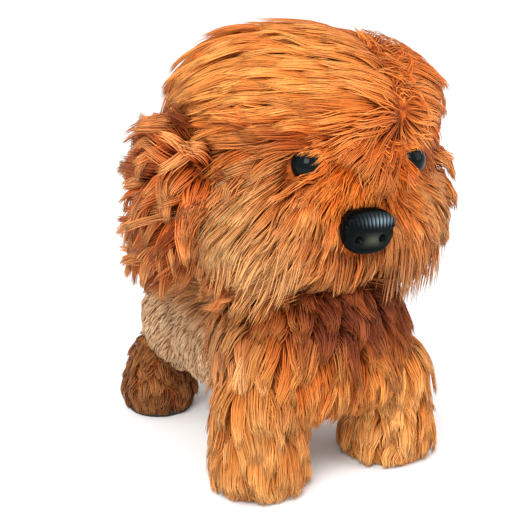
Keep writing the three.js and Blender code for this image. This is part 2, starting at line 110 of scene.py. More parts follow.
# ---- colours -------------------------------------------------------------------------------
def linear(r, g, b):
    """An sRGB colour of 0 to 255 as linear numbers."""
    c = np.array([r, g, b]) / 255
    return np.where(c <= 0.04045, c / 12.92, ((c + 0.055) / 1.055) ** 2.4)


TRACE = 1e-3  # a share that keeps a mix of coats from being empty
COAT = {  # root, middle and tip of a hair, and the colour that some locks turn to
    "crown": (linear(206, 106, 38), linear(232, 144, 66), linear(242, 164, 86), linear(206, 100, 30)),
    "bridge": (linear(160, 62, 10), linear(214, 100, 20), linear(236, 142, 58), linear(178, 68, 10)),
    "face": (linear(140, 62, 20), linear(202, 112, 48), linear(230, 162, 96), linear(170, 78, 24)),
    "beard": (linear(96, 50, 24), linear(186, 122, 66), linear(226, 176, 116), linear(140, 78, 34)),
    "side": (linear(120, 44, 14), linear(186, 90, 32), linear(226, 152, 88), linear(124, 46, 16)),
    # the throat's dark coat also paints shade above the eyes and beside the muzzle
    "throat": (linear(66, 22, 10), linear(118, 50, 24), linear(164, 84, 38), linear(86, 32, 12)),
    "chest": (linear(140, 58, 14), linear(200, 106, 38), linear(232, 160, 84), linear(150, 64, 18)),
    "shoulder": (linear(140, 80, 38), linear(204, 140, 82), linear(232, 180, 126), linear(160, 94, 46)),
    "flank": (linear(150, 106, 68), linear(206, 164, 122), linear(224, 188, 150), linear(172, 126, 84)),
    "back": (linear(120, 58, 20), linear(186, 114, 56), linear(222, 158, 96), linear(140, 74, 30)),
    "leg": (linear(146, 72, 24), linear(208, 130, 60), linear(236, 176, 106), linear(168, 88, 32)),
    "hind": (linear(70, 36, 16), linear(132, 78, 38), linear(168, 110, 60), linear(96, 54, 24)),
}


# ---- forms ---------------------------------------------------------------------------------
BLEND = 3.0  # how softly one ellipsoid's outward direction turns into the next one's
SMOOTHING = 6  # passes over a pelt's mesh
SPARE = 3  # points tried for each root that is wanted


class Form:
    """A union of ellipsoids: a pelt is made round it, and hairs are kept off its surface."""

    def __init__(self, *balls):
        self.centres = np.array([c for c, _ in balls], float)
        self.halves = np.array([h for _, h in balls], float)

    def measure(self, points):
        """Height over the surface and the outward direction, for each point."""
        heights, ups = [], []
        for centre, half in zip(self.centres, self.halves):
            q = points - centre
            k0 = np.linalg.norm(q / half, axis=1)
            up = q / half**2
            k1 = np.maximum(np.linalg.norm(up, axis=1), 1e-6)
            heights.append(k0 * (k0 - 1) / k1)
            ups.append(up / k1[:, None])
        heights = np.array(heights)
        share = np.exp(-(heights - heights.min(0)) / BLEND)
        share /= share.sum(0)
        up = (np.array(ups) * share[:, :, None]).sum(0)
        return heights.min(0), unit(up)

    def mesh(self, name, voxel):
        """One closed skin round all the ellipsoids, in the form's own axes."""
        verts, faces = [], []
        ball, ball_faces = globe(40, 24)
        for centre, half in zip(self.centres, self.halves):
            faces += [[i + len(verts) for i in face] for face in ball_faces]
            verts += list(ball * half + centre)
        mesh = bpy.data.meshes.new(name)
        mesh.from_pydata([tuple(v) for v in verts], [], faces)
        obj = bpy.data.objects.new(name, mesh)
        bpy.context.scene.collection.objects.link(obj)
        remesh = obj.modifiers.new("remesh", "REMESH")
        remesh.mode = "VOXEL"
        remesh.voxel_size = voxel
        smooth = obj.modifiers.new("smooth", "SMOOTH")
        smooth.iterations = SMOOTHING
        bpy.context.view_layer.update()
        done = bpy.data.meshes.new_from_object(obj.evaluated_get(bpy.context.evaluated_depsgraph_get()))
        bpy.data.objects.remove(obj)
        bpy.data.meshes.remove(mesh)
        done.name = name
        return done


def globe(around, down):
    """A unit sphere: its points and faces, poles along Z."""
    verts = [(0, 0, 1)]
    for j in range(1, down):
        for i in range(around):
            a, b = 2 * math.pi * i / around, math.pi * j / down
            verts.append((math.cos(a) * math.sin(b), math.sin(a) * math.sin(b), math.cos(b)))
    verts.append((0, 0, -1))
    last = len(verts) - 1

    def ring(j, i):
        return 1 + (j - 1) * around + i % around

    faces = [(0, ring(1, i), ring(1, i + 1)) for i in range(around)]
    for j in range(1, down - 1):
        faces += [(ring(j, i), ring(j + 1, i), ring(j + 1, i + 1), ring(j, i + 1)) for i in range(around)]
    faces += [(last, ring(down - 1, i + 1), ring(down - 1, i)) for i in range(around)]
    return np.array(verts), faces


def unit(v):
    return v / np.maximum(np.linalg.norm(v, axis=-1, keepdims=True), 1e-9)


def ramp(x, low, high):
    """0 below low, 1 above high, smooth between."""
    t = np.clip((x - low) / (high - low), 0, 1)
    return t * t * (3 - 2 * t)


def along(v, up):
    """The part of v that lies in the surface, as a direction."""
    return unit(v - (v * up).sum(1, keepdims=True) * up)


def scatter(mesh, count, keep):
    """Points spread evenly over a mesh, thinned by keep(points), a share from 0 to 1."""
    mesh.calc_loop_triangles()
    tris = np.empty(len(mesh.loop_triangles) * 3, np.int64)
    mesh.loop_triangles.foreach_get("vertices", tris)
    co = np.empty(len(mesh.vertices) * 3)
    mesh.vertices.foreach_get("co", co)
    a, b, c = np.moveaxis(co.reshape(-1, 3)[tris.reshape(-1, 3)], 1, 0)
    area = np.linalg.norm(np.cross(b - a, c - a), axis=1)
    pick = RNG.choice(len(area), SPARE * count, p=area / area.sum())
    u, v = RNG.random((2, len(pick), 1))
    fold = u + v > 1
    u, v = np.where(fold, 1 - u, u), np.where(fold, 1 - v, v)
    points = a[pick] + u * (b - a)[pick] + v * (c - a)[pick]
    return points[RNG.random(len(points)) < keep(points)][:count]


# ---- growing fur ---------------------------------------------------------------------------
def nearest(points, seeds):
    """The number of the seed nearest to each point."""
    tree = kdtree.KDTree(len(seeds))
    for i, seed in enumerate(seeds):
        tree.insert(seed, i)
    tree.balance()
    return np.array([tree.find(p)[1] for p in points])


def turned(v, axis, angle):
    """v turned about axis by angle, for each row."""
    c, s = np.cos(angle)[:, None], np.sin(angle)[:, None]
    return v * c + np.cross(axis, v) * s + axis * (v * axis).sum(1, keepdims=True) * (1 - c)


STYLE = {  # of a fur; the styles further down say only where they differ from it
    "steps": 4,  # segments of a hair
    "per_lock": 24,  # hairs that gather to one point
    "clump": 0.7,  # how far they gather
    "swerve": 0.25,  # radians a lock turns from the combed direction
    "lift": 0.6,  # how steeply it leaves the skin
    "rise": 5.0,  # how high it rides over the skin, in mm
    "follow": 0.9,  # how strongly it turns back along the skin
    "droop": 0.3,  # how strongly it falls
    "cling": 0.6,  # how far it is drawn back when it rises too high
    "curl": 1.0,  # sideways wave, in mm
    "waves": 1.2,  # how many of them along a hair
    "frizz": 0.45,  # loose ends of single hairs, in mm
    "vary": 0.25,  # spread of lock lengths
}
SUNK = 0.5  # how deep a root sits in the skin, in mm
CLEAR = 0.3  # how far a hair stays off the skin
AIM_SPREAD = 0.08  # radians a single hair turns from its lock
LOCK_REACH = 7  # mm over which a lock's pull on a hair fades out


def grow(form, roots, comb, length, style):
    """The points of every hair, (hairs, steps + 1, 3), its lock, and up at its root.

    comb(points) is the direction it is brushed in, length(points) how long it is there.
    """
    style = {**STYLE, **style}
    steps, count = style["steps"], len(roots)
    _, up0 = form.measure(roots)
    locks = max(8, count // style["per_lock"])
    seeds = roots[RNG.choice(count, locks, replace=False)]
    lock = nearest(roots, seeds)
    leaders = nearest(seeds, roots)
    swerve = RNG.normal(0, style["swerve"], locks)
    stretch = RNG.uniform(1 - style["vary"], 1 + 0.6 * style["vary"], locks)
    rise = style["rise"] * RNG.uniform(0.55, 1.4, locks)
    phase = RNG.uniform(0, 2 * math.pi, locks)
    curl = style["curl"] * RNG.uniform(0.3, 1.4, locks)
    reach = length(roots) * stretch[lock] * RNG.uniform(0.82, 1.05, count)

    lie = turned(along(comb(roots), up0), up0, swerve[lock] + RNG.normal(0, AIM_SPREAD, count))
    way = unit(up0 * style["lift"] + lie)
    at = roots - up0 * SUNK
    path = [at]
    for k in range(1, steps + 1):
        t = k / steps
        _, up = form.measure(at)
        lie = turned(along(comb(at), up), up, swerve[lock])
        way = unit(way + lie * style["follow"] + np.array([0, 0, -style["droop"] * t]))
        at = at + way * (reach / steps)[:, None]
        height, up = form.measure(at)
        lowest = np.minimum(rise[lock] * math.sqrt(t), 0.5 * reach) + CLEAR
        at = at + up * np.clip(lowest - height, 0, None)[:, None]
        at = at - up * (np.clip(height - 2.0 * rise[lock], 0, None) * style["cling"])[:, None]
        path.append(at)
    path = np.stack(path, 1)

    t = np.linspace(0, 1, steps + 1)[None, :, None]
    leader = path[leaders][lock]
    away = np.linalg.norm(leader[:, 0] - path[:, 0], axis=1)
    pull = style["clump"] * RNG.uniform(0.6, 1.1, count) * np.clip(1.7 - away / LOCK_REACH, 0, 1)
    path = path + (leader - path) * (pull[:, None, None] * ramp(t, 0.05, 1.0))
    side = unit(np.cross(unit(path[:, -1] - path[:, 0]), up0))
    wave = np.sin(phase[lock][:, None, None] + t * 2 * math.pi * style["waves"])
    path = path + side[:, None] * (wave * curl[lock][:, None, None] * t)
    path = path + RNG.normal(0, 1, (count, 1, 3)) * (style["frizz"] * t**1.3)
    height, up = form.measure(path[:, 1:].reshape(-1, 3))
    path[:, 1:] += (np.clip(CLEAR - height, 0, None)[:, None] * up).reshape(count, steps, 3)
    return path, lock, up0


def points_at(path, place):
    """The point of each hair at each place along it, counted in steps from its root."""
    before = np.minimum(place.astype(int), path.shape[1] - 2)
    share = (place - before)[..., None]
    row = np.arange(len(path))[:, None]
    return path[row, before] * (1 - share) + path[row, before + 1] * share


STRAYS = 0.04  # the share of hairs that a window doesn't cut
STUB = 0.3  # a hair that is cut shorter than this share of its length is left out


def trimmed(path, window):
    """Ends each hair where it enters a window, and says which hairs are left."""
    steps = path.shape[1] - 1
    fine = np.linspace(0, 1, 5 * steps + 1)
    inside = window(points_at(path, np.tile(fine * steps, (len(path), 1))))
    cut = np.where(inside.any(1), fine[inside.argmax(1)], 1.0)
    cut = np.where(RNG.random(len(path)) < STRAYS, 1.0, cut)
    place = np.linspace(0, 1, steps + 1)[None] * cut[:, None] * steps
    return points_at(path, place), cut > STUB


# ---- hairs as meshes -----------------------------------------------------------------------
BROAD, THIN = 1.25, 0.75  # a hair's section, across the skin and off it
UV_EDGE = 0.08  # the rim of each hair's cell that is left free


def hair_mesh(name, path, up0, tint, width):
    """Every hair as one closed three-sided tube that ends in a point."""
    count, rings = path.shape[0], path.shape[1]
    steps = rings - 1
    tangent = np.empty_like(path)
    tangent[:, 1:-1] = path[:, 2:] - path[:, :-2]
    tangent[:, 0] = path[:, 1] - path[:, 0]
    tangent[:, -1] = path[:, -1] - path[:, -2]
    tangent = unit(tangent)
    side = unit(np.cross(tangent, up0[:, None]) + 1e-4)
    rise = np.cross(side, tangent)
    t = np.linspace(0, 1, rings)
    radius = width[:, None] * (0.75 + 0.6 * t - 1.0 * t**3)[None, :] * 0.5
    radius[:, 0] *= 0.8
    corner = np.array([0.25, 0.25 + 2 / 3, 0.25 + 4 / 3]) * math.pi
    ring = (
        path[:, :-1, None]
        + side[:, :-1, None] * (np.cos(corner)[None, None, :, None] * radius[:, :-1, None, None] * BROAD)
        + rise[:, :-1, None] * (np.sin(corner)[None, None, :, None] * radius[:, :-1, None, None] * THIN)
    )
    per = steps * 3 + 1
    verts = np.concatenate([ring.reshape(count, steps * 3, 3), path[:, -1:]], 1)
    quads = [
        (3 * k + s, 3 * k + (s + 1) % 3, 3 * k + 3 + (s + 1) % 3, 3 * k + 3 + s)
        for k in range(steps - 1)
        for s in range(3)
    ]
    end = 3 * (steps - 1)
    tris = [(end + s, end + (s + 1) % 3, per - 1) for s in range(3)] + [(2, 1, 0)]
    corners = np.array([i for face in quads + tris for i in face])
    sizes = np.array([4] * len(quads) + [3] * len(tris))
    loops = (corners[None] + per * np.arange(count)[:, None]).ravel()
    sizes_all = np.tile(sizes, count)
    starts = np.concatenate([[0], np.cumsum(sizes_all)[:-1]])

    mesh = bpy.data.meshes.new(name)
    mesh.vertices.add(count * per)
    mesh.vertices.foreach_set("co", (verts.reshape(-1) * MM).astype(np.float32))
    mesh.loops.add(len(loops))
    mesh.loops.foreach_set("vertex_index", loops.astype(np.int32))
    mesh.polygons.add(len(sizes_all))
    mesh.polygons.foreach_set("loop_start", starts.astype(np.int32))
    mesh.polygons.foreach_set("use_smooth", np.ones(len(sizes_all), bool))
    mesh.update(calc_edges=True)

    # colour at each point of each hair
    root, mid, tip, odd = tint["root"], tint["mid"], tint["tip"], tint["odd"]
    lane = np.concatenate([np.repeat(t[:-1], 3), [1.0]])[None, :, None]
    shade = root[:, None] + (mid - root)[:, None] * ramp(lane, 0.0, 0.42)
    shade = shade + (tip - mid)[:, None] * ramp(lane, 0.45, 1.0)
    shade = shade + (odd[:, None] - shade) * tint["oddness"][:, None, None] * ramp(lane, 0, 0.5)
    shade = shade * tint["light"][:, None, None]
    rgba = np.concatenate([shade, np.ones(shade.shape[:2] + (1,))], 2)
    colour = mesh.color_attributes.new("coat", "FLOAT_COLOR", "POINT")
    colour.data.foreach_set("color", rgba.reshape(-1).astype(np.float32))

    # each hair has its own cell of the unit square, its length running up it
    columns = int(math.ceil(math.sqrt(count)))
    cell = 1.0 / columns
    level = np.concatenate([np.repeat(np.arange(steps), 3), [steps]]) / steps
    place = np.concatenate([np.tile(np.arange(3), steps), [1]]) / 3.0
    u = np.empty(len(corners))
    first = np.cumsum(np.concatenate([[0], sizes[:-1]]))
    for f, (start, size) in enumerate(zip(first, sizes)):
        own = corners[start : start + size]
        across = place[own].copy()
        if size == 4 and f % 3 == 2:
            across[1:3] = 1.0
        u[start : start + size] = across
    v = level[corners]
    cell_u = (np.arange(count) % columns)[:, None] * cell
    cell_v = (np.arange(count) // columns)[:, None] * cell
    u, v = UV_EDGE + (1 - 2 * UV_EDGE) * u, UV_EDGE + (1 - 2 * UV_EDGE) * v
    uv = np.stack([cell_u + u[None] * cell, cell_v + v[None] * cell], 2)
    layer = mesh.uv_layers.new(name="OFBake")
    layer.data.foreach_set("uv", uv.reshape(-1).astype(np.float32))
    return mesh


def tints(lock, zones, pale=0.15, odd=0.6, lock_light=0.09, hair_light=0.1):
    """Each hair's colours, mixed from zones, a dict of coat name to share at each root."""
    total = sum(zones.values())
    root, mid, tip, other = [
        sum(COAT[zone][i] * (share / total)[:, None] for zone, share in zones.items()) for i in range(4)
    ]
    locks = lock.max() + 1
    is_pale = (RNG.random(locks) < pale)[lock]
    oddness = (RNG.beta(0.7, 1.8, locks) * odd)[lock]
    light = RNG.normal(1.0, lock_light, locks).clip(0.7, 1.3)[lock]
    return {
        "root": root,
        "mid": np.where(is_pale[:, None], 0.4 * mid + 0.6 * tip, mid),
        "tip": tip,
        "odd": other,
        "oddness": np.where(is_pale, 0.1 * oddness, oddness),
        "light": light * RNG.normal(1.0, hair_light, len(lock)).clip(0.7, 1.3),
    }


def all_of(*zones):
    """An even mix of coats, for every root."""
    return lambda points: {zone: np.ones(len(points)) for zone in zones}


def even(length):
    """The same length for every hair."""
    return lambda points: np.full(len(points), length)


def link(name, mesh, material):
    obj = bpy.data.objects.new(name, mesh)
    bpy.context.scene.collection.objects.link(obj)
    obj.data.materials.append(material)
    return obj


def plant(name, body, mesh, material):
    obj = link(name, mesh, material)
    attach(obj, body)
    return obj


def fur(name, body, form, skin, count, keep, comb, length, zones, style, look=None, width=0.42,
        shape=None, windows=(), to_world=None, floor=None):
    """Grows fur out of a skin and fixes it to a body, in pieces of a size that exports whole.

    keep, comb, length and zones are functions of points on the skin. A hair ends at a window,
    and stays over the floor's height. to_world is given where the form is in the head's axes.
    """
    roots = scatter(skin, count, keep)
    path, lock, up = grow(form, roots, comb, length, style)
    if shape:
        path = shape(path)
    for window in windows:
        path, kept = trimmed(path, window)
        path, lock, up, roots = path[kept], lock[kept], up[kept], roots[kept]
    tint = tints(lock, zones(roots), **(look or {}))
    if to_world:
        path, up = to_world(path), up @ HEAD_ROT.T
    if floor is not None:
        path[..., 2] = np.maximum(path[..., 2], floor + 0.8 * RNG.random(len(path))[:, None])
    thick = RNG.uniform(0.8, 1.5, len(path)) * width * 1.0
    faces = len(path) * (6 * path.shape[1] - 8)
    parts = math.ceil(faces / MOST_FACES)
    for k in range(parts):
        own = slice(k, None, parts)
        title = name if parts == 1 else f"{name}_{k + 1}"
        own_tint = {key: value[own] for key, value in tint.items()}
        plant(title, body, hair_mesh(title, path[own], up[own], own_tint, thick[own]), FUR)


def pelt(name, body, form_mesh, material, node, matrix=None):
    """The stuffed skin that the fur grows from; it stands for the frame's plush."""
    form_mesh.transform(Matrix.Scale(MM, 4) @ (matrix or Matrix.Identity(4)))
    obj = plant(name, body, form_mesh, material)
    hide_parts(node)


# ---- materials -----------------------------------------------------------------------------
def new_material(name, colour=None, **sockets):
    mat = bpy.data.materials.new(name)
    mat.use_nodes = True
    shader = mat.node_tree.nodes["Principled BSDF"]
    for key, value in sockets.items():
        shader.inputs[key.replace("_", " ")].default_value = value
    if colour is not None:
        shader.inputs["Base Color"].default_value = (*colour, 1)
    return mat, mat.node_tree.links, shader


def add(mat, kind, **sockets):
    """A new node of that kind, with its sockets' values."""
    made = mat.node_tree.nodes.new("ShaderNode" + kind)
    for key, value in sockets.items():
        made.inputs[key.replace("_", " ")].default_value = value
    return made


def two_tone(mat, dark, light, low=0.0, high=1.0):
    """A colour ramp from dark to light."""
    tone = add(mat, "ValToRGB")
    for stop, colour, at in zip(tone.color_ramp.elements, (dark, light), (low, high)):
        stop.color = (*colour, 1)
        stop.position = at
    return tone


def fur_material():
    """The hairs' own colours, with a fine change of brightness along them."""
    mat, links, shader = new_material("fur_hair", Roughness=0.5, Specular_IOR_Level=0.16)
    coat = add(mat, "Attribute")
    coat.attribute_name = "coat"
    noise = add(mat, "TexNoise", Scale=260, Detail=2)
    spread = add(mat, "MapRange", To_Min=0.78, To_Max=1.24)
    place = add(mat, "TexCoord")
    tone = add(mat, "HueSaturation")
    links.new(place.outputs["Object"], noise.inputs["Vector"])
    links.new(noise.outputs["Fac"], spread.inputs["Value"])
    links.new(spread.outputs["Result"], tone.inputs["Value"])
    links.new(coat.outputs["Color"], tone.inputs["Color"])
    links.new(tone.outputs["Color"], shader.inputs["Base Color"])
    return mat


def pelt_material(name, dark, light):
    """The woven backing and its dense underfur, seen only deep between the locks."""
    mat, links, shader = new_material(name, Roughness=0.95, Specular_IOR_Level=0.1)
    noise = add(mat, "TexNoise", Scale=420, Detail=5)
    colours = two_tone(mat, dark, light, 0.35, 0.7)
    bump = add(mat, "Bump", Strength=0.6, Distance=0.0006)
    place = add(mat, "TexCoord")
    links.new(place.outputs["Object"], noise.inputs["Vector"])
    links.new(noise.outputs["Fac"], colours.inputs["Fac"])
    links.new(noise.outputs["Fac"], bump.inputs["Height"])
    links.new(colours.outputs["Color"], shader.inputs["Base Color"])
    links.new(bump.outputs["Normal"], shader.inputs["Normal"])
    return mat


RED_ENDS = (-0.036, -0.022)  # where the red backing of the chest turns tan, along Y in metres


def body_pelt_material():
    """Tan backing on the flanks and back, red on the chest."""
    mat = pelt_material("pelt_body", linear(150, 104, 70), linear(206, 160, 120))
    nodes, links = mat.node_tree.nodes, mat.node_tree.links
    red = two_tone(mat, linear(92, 36, 12), linear(164, 84, 36))
    place = add(mat, "TexCoord")
    axes = add(mat, "SeparateXYZ")
    share = add(mat, "MapRange", From_Min=RED_ENDS[0], From_Max=RED_ENDS[1])
    mix = add(mat, "Mix")
    mix.data_type = "RGBA"
    links.new(place.outputs["Object"], axes.inputs["Vector"])
    links.new(axes.outputs["Y"], share.inputs["Value"])
    links.new(share.outputs["Result"], mix.inputs["Factor"])
    links.new(nodes["Noise Texture"].outputs["Fac"], red.inputs["Fac"])
    links.new(red.outputs["Color"], mix.inputs["A"])
    links.new(nodes["Color Ramp"].outputs["Color"], mix.inputs["B"])
    links.new(mix.outputs["Result"], nodes["Principled BSDF"].inputs["Base Color"])
    return mat


def nose_material():
    mat, links, shader = new_material("nose_gloss", Roughness=0.28, Specular_IOR_Level=0.05)
    coat = add(mat, "Attribute")
    coat.attribute_name = "coat"
    links.new(coat.outputs["Color"], shader.inputs["Base Color"])
    return mat


def speckled(name, colour, roughness, scale, strength, **more):
    """A moulded or rolled surface: a faintly clouded colour and shine, and a fine grain."""
    mat, links, shader = new_material(name, colour, Roughness=roughness, **more)
    noise = add(mat, "TexNoise", Scale=scale, Detail=4)
    cloud = add(mat, "TexNoise", Scale=scale / 5, Detail=3)
    tone = two_tone(mat, np.minimum(colour * 0.92, 1), np.minimum(colour * 1.05, 1), 0.3, 0.7)
    dull = add(mat, "MapRange", To_Min=roughness * 0.8, To_Max=roughness * 1.2)
    bump = add(mat, "Bump", Strength=strength, Distance=0.0002)
    place = add(mat, "TexCoord")
    links.new(place.outputs["Object"], noise.inputs["Vector"])
    links.new(place.outputs["Object"], cloud.inputs["Vector"])
    links.new(cloud.outputs["Fac"], tone.inputs["Fac"])
    links.new(cloud.outputs["Fac"], dull.inputs["Value"])
    links.new(tone.outputs["Color"], shader.inputs["Base Color"])
    links.new(dull.outputs["Result"], shader.inputs["Roughness"])
    links.new(noise.outputs["Fac"], bump.inputs["Height"])
    links.new(bump.outputs["Normal"], shader.inputs["Normal"])
    return mat


EYE_GLOSS = speckled("eye_gloss", linear(5, 13, 15), 0.12, 500, 0.04, Specular_IOR_Level=0.1)
NOSE_GLOSS = nose_material()
HARDWARE = {
    "moulded_shell": speckled("shell_plastic", linear(214, 209, 196), 0.42, 900, 0.25),
    "acetal": speckled("acetal_plastic", linear(238, 234, 220), 0.34, 600, 0.1),
    "steel": speckled("bright_steel", linear(196, 198, 202), 0.24, 1800, 0.15, Metallic=1.0),
    "sole_rubber": speckled("sole_rubber", linear(42, 38, 35), 0.82, 1400, 0.6),
    "cell_wrap": speckled("cell_wrap", linear(38, 96, 62), 0.3, 800, 0.1),
    "circuit_board": speckled("circuit_board", linear(34, 92, 48), 0.45, 1200, 0.2),
    "motor_can": speckled("motor_can", linear(176, 180, 186), 0.32, 1500, 0.15, Metallic=0.9),
    "brass": speckled("brass", linear(206, 168, 92), 0.28, 1500, 0.15, Metallic=1.0),
    "speaker_cone": speckled("speaker_cone", linear(44, 45, 48), 0.6, 700, 0.4),
    "dark_plastic": speckled("dark_plastic", linear(28, 29, 33), 0.4, 900, 0.3),
}
for part in frame["record"]["subparts"]:
    finish = HARDWARE.get(part["material_slot"])
    if finish:
        node = frame["nodes"][part["node"]]
        node.data.materials.clear()
        node.data.materials.append(finish)

FUR = fur_material()
PELT = pelt_material("pelt_red", linear(120, 48, 14), linear(190, 96, 40))
BODY_PELT = body_pelt_material()


# ---- head ----------------------------------------------------------------------------------
BALL = np.array([0, 2, 23.0])  # middle of the head in its own axes
PARTING = np.array([[17, -38, 43.0], [22, -4, 66]])  # the crown's hair falls away from this line
BRIDGE = np.array([1, -42, 31.0])  # and the face's hair from here, between the eyes
NOSE_HALF = np.array([12, 6, 8.6])
NOSE = to_head(np.array([[0, NOSE_LOW[1] + NOSE_HALF[1], (NOSE_LOW[2] + NOSE_HIGH[2]) / 2]]))[0]
EYE_R = 6.5
STEM_R = 1.9  # the shank behind an eye
LASH = 0.9  # how far hair stands off an eye


def eye_centre(node):
    """The middle of an eye's ball, in the head's axes; its stem runs back from there."""
    low, high = box_mm(node)
    return to_head(np.array([[(low[0] + high[0]) / 2, low[1] + EYE_R, (low[2] + high[2]) / 2]]))[0]


EYES = [eye_centre("left_eye"), eye_centre("right_eye")]
head_form = Form(
    (BALL, (46, 41, 44)),
    ((19, 3, 39), (30, 32, 26)),
    ((-19, 3, 39), (30, 32, 26)),
    ((0, -22, -2), (26, 18, 18)),
    ((25, -14, 0), (23, 23, 21)),
    ((-25, -14, 0), (23, 23, 21)),
    ((0, -23, 19), (17, 17, 17)),  # bridge of the nose
    ((0, -16, 43), (36, 23, 13)),  # brow
)
head_skin = head_form.mesh("head_pelt", 1.6)


def face_share(points):
    low = 1 - ramp(points[:, 2] + 0.10 * np.abs(points[:, 0]), 31, 37)
    front = 1 - ramp(points[:, 1], -26, -14)
    return low * front


def crown_share(points):
    return (1 - face_share(points)) * ramp(points[:, 2], 22, 34) * (1 - ramp(points[:, 1], 16, 34))


def off_parting(points, low, high):
    """From the parting to each point; low and high are the line's ends, as shares of its length."""
    start, end = PARTING
    run = end - start
    t = np.clip((points - start) @ run / (run @ run), low, high)
    return points - (start + t[:, None] * run)


def crown_comb(points):
    fall = (1 - ramp(points[:, 2], 14, 36)) * ramp(np.abs(points[:, 0]), 22, 36)
    out = unit(off_parting(points, 0, 1))
    return out + fall[:, None] * np.array([0, 0, -1.1]) + np.array([0, 0.12, 0])


def near_parting(points):
    return 1 - ramp(np.linalg.norm(off_parting(points, -0.1, 0.75), axis=1), 5, 12)


def side_comb(points):
    out = (points - BALL) * [0.012, 0.010, 0]
    return out + np.array([0, 0.2, -0.75])


def face_comb(points):
    return unit(points - BRIDGE) + np.array([0, 0, -0.35])


def face_length(points):
    return 7 + 0.46 * np.linalg.norm(points - BRIDGE, axis=1)


def crown_length(points):
    return 34 - 9 * (1 - ramp(points[:, 2], 34, 48)) * (1 - ramp(points[:, 1], -30, -16))


def cheek_length(points):
    return 26 + 6 * (1 - ramp(points[:, 2], -10, 10))


def jowl_comb(points):
    return points * [0.012, 0.004, 0] + np.array([0, 0, -1.0])


def crown_zones(points):
    low = (1 - ramp(points[:, 2], 38, 52)) * (1 - ramp(points[:, 1], -30, -16))
    side = (0.6 * ramp(points[:, 0], 6, 30) + 0.5 * ramp(-points[:, 0], 34, 46)) * (1 - low)
    # brow is painted shade: a band of the dark throat coat above each eye, where the crown hangs over it
    brow = np.exp(-(((points[:, 2] - 34) / 4.5) ** 2)) * ramp(np.abs(points[:, 0]), 8, 16)
    crown = 1 - low - side + TRACE
    return {"crown": crown, "bridge": 0.6 * low, "side": side + 0.4 * low, "throat": 0.9 * brow}


def cheek_zones(points):
    return {"side": np.ones(len(points)), "beard": 0.7 * (1 - ramp(points[:, 1], -30, -8))}


def face_zones(points):
    far = np.linalg.norm((points - BRIDGE) * [1.0, 1, 0.85], axis=1)
    beard = ramp(far, 30, 44)
    bridge = 1 - ramp(far, 12, 30)
    # corner is painted shade: the dark throat coat low on each side of the muzzle, in the gap between its hair and
    # the cheeks' hair
    corner = np.exp(-(((np.abs(points[:, 0]) - 21) / 4) ** 2) - ((points[:, 2] + 11) / 7) ** 2)
    face = (1 - beard) * (1 - bridge)
    return {"beard": beard, "bridge": bridge * (1 - beard), "face": face + TRACE, "throat": 2.0 * corner}


def eye_keep(points):
    """No hair grows under an eye or the nose."""
    keep = np.ones(len(points))
    for eye in EYES:
        keep *= ramp(np.linalg.norm((points - eye) / [1, 1.6, 1], axis=1), 5.6, 6.2)
    return keep * ramp(np.linalg.norm((points - NOSE) / NOSE_HALF, axis=1), 0.95, 1.1)


def off_eyes(path):
    """Lifts hair that would run through an eye onto its ball."""
    for eye in EYES:
        away = path - eye
        far = np.linalg.norm(away, axis=2, keepdims=True)
        path = np.where(far < EYE_R + LASH, eye + away / np.maximum(far, 0.1) * (EYE_R + LASH), path)
    return path


def eye_window(eye, edge):
    """The part of an eye that stays open: beyond a slanting edge, and below the brow."""
    side = np.sign(eye[0])

    def inside(points):
        out = side * (points[..., 0] - eye[0]) * 0.82 + (points[..., 1] - eye[1]) * 0.57
        up = points[..., 2] - eye[2]
        near = np.linalg.norm(points - eye, axis=-1) < EYE_R + 8
        return (out + up > edge) & (out < 5.6) & (up < 4.2) & near

    return inside


def nose_window(points):
    """The nose's outline seen from the front, but for its upper edge, which hair may cross."""
    q = (points - NOSE) / NOSE_HALF
    return (q[..., 0] ** 2 + q[..., 2] ** 2 < 0.9) & (q[..., 2] < 0.8) & (q[..., 1] < 1)


EYE_WINDOWS = [eye_window(EYES[0], -3.0), eye_window(EYES[1], 0.3)]
FACE_WINDOWS = EYE_WINDOWS + [nose_window]
LID_RISE = {"left": 6.5, "right": 8.5}
CROWN_STYLE = {
    "steps": 6, "rise": 5.5, "lift": 0.42, "follow": 1.0, "droop": 0.0, "clump": 0.68, "curl": 0.9,
    "swerve": 0.1, "per_lock": 20, "frizz": 0.4, "vary": 0.3,
}
FORELOCK_STYLE = {
    "steps": 5, "rise": 6.5, "lift": 1.3, "follow": 0.5, "droop": 0.1, "clump": 0.8,
    "swerve": 1.3, "per_lock": 20,
}
FACE_STYLE = {
    "rise": 4.0, "lift": 0.5, "clump": 0.45, "curl": 0.8, "swerve": 0.14, "per_lock": 14,
}
LID_STYLE = {
    "steps": 6, "lift": 0.9, "droop": 0.1, "clump": 0.4, "curl": 0.5, "swerve": 0.12, "per_lock": 14,
}
CHEEK_STYLE = {"rise": 6.5, "lift": 0.7, "follow": 0.8, "clump": 0.74, "curl": 1.3, "swerve": 0.3}
JOWL_STYLE = {
    "steps": 5, "rise": 3, "lift": 0.5, "follow": 0.15, "droop": 0.9, "cling": 0.0, "clump": 0.86,
    "curl": 1.2, "waves": 0.7, "swerve": 0.35, "per_lock": 34, "vary": 0.35,
}


def head_fur(name, count, keep, comb, length, zones, style, look=None, shape=off_eyes, windows=(), **more):
    fur(name, "head", head_form, head_skin, count, keep, comb, length, zones, style, look,
        shape=shape, windows=windows, to_world=from_head, **more)


def lid_fur(eye, name):
    """Hair from the brow's inner end that hangs over the inner part of an eye."""
    inner = eye + [-9 * np.sign(eye[0]), -1, 1]
    way = np.array([np.sign(eye[0]), 0.3, -0.75])
    head_fur(f"{name}_lid_fur", 900,
             lambda points: 1 - ramp(np.linalg.norm(points - inner, axis=1), 6, 11),
             lambda points: way + 0 * points, even(19.0), face_zones,
             {**LID_STYLE, "rise": LID_RISE[name]}, {"odd": 0.4}, windows=EYE_WINDOWS, width=0.38)


